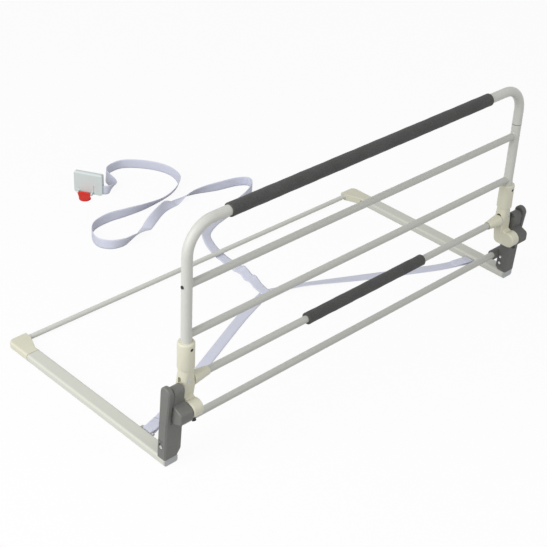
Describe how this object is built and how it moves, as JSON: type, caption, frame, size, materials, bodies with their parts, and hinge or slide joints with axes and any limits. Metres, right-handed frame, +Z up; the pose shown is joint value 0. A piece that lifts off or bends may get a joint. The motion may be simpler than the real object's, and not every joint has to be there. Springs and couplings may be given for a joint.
{
  "type": "bed assist rail",
  "caption": "Fold-down bed assist rail: a bent-tube fence with foam grips on hinged arms, a lift-to-release bar, and a flat base frame with a hold-down strap and buckle.",
  "frame": {"origin": "on the floor, at the middle of the length and depth of the rail and its base, without the strap and buckle", "axes": "+X along the fence to the right as seen from the front, +Y back under the mattress, +Z up"},
  "size_m": [1.127, 1.0971, 0.5405],
  "materials": {
    "tube": "satin powder coat, warm white",
    "rail": "satin powder coat, pale grey",
    "foam": "matt closed-cell foam, charcoal",
    "cream": "moulded, fine texture, cream",
    "bracket": "moulded, fine texture, mid grey",
    "cap": "moulded, light grey",
    "steel": "zinc plated",
    "dark": "black oxide",
    "webbing": "woven polyester, pale lavender",
    "buckle": "moulded, light grey",
    "lever": "moulded, red"
  },
  "bodies": {
    "base": {"bracket_left": "bracket", "bracket_right": "bracket", "bracket_screws": "steel", "rail_left": "rail", "rail_right": "rail", "rail_cap_left": "cap", "rail_cap_right": "cap", "cross_bar": "tube", "corner_left": "cream", "corner_right": "cream", "corner_screws": "dark", "rear_bar": "tube", "strap_anchor_left": "rail", "strap_anchor_right": "rail", "strap_leg_left": "webbing", "strap_leg_right": "webbing", "strap_tail": "webbing", "buckle_body": "buckle", "lever_pin": "steel"},
    "fence": {"top_hoop": "tube", "post_left": "tube", "post_right": "tube", "upper_bar": "tube", "lower_bar": "tube", "long_grip": "foam", "arm_left": "cream", "arm_right": "cream", "neck_screws": "steel", "sleeve_screws": "dark", "pin_screws": "dark", "bar_screws": "dark", "pivot_pin_left": "dark", "pivot_pin_right": "dark", "release_spring_left": "steel", "release_spring_right": "steel"},
    "release": {"release_bar": "tube", "release_grip": "foam", "release_end_left": "cream", "release_end_right": "cream"},
    "lever": {"buckle_lever": "lever"}
  },
  "joints": [
    {"name": "fence_fold", "type": "hinge", "parent": "base", "child": "fence", "pos_m": [0, -0.2715, 0.133], "axis": [1, 0, 0], "range_deg": [0, 180]},
    {"name": "release_lift", "type": "slide", "parent": "fence", "child": "release", "axis": [0, 0, 1], "range_m": [0, 0.012], "stiffness_N_per_m": 600, "springref_m": -0.02, "deforming": ["release_spring_left", "release_spring_right"]},
    {"name": "buckle_lever_lift", "type": "hinge", "parent": "base", "child": "lever", "pos_m": [-0.00412, 0.734, 0.004], "axis": [-0.5, 0.866, 0], "range_deg": [0, 80]}
  ]
}
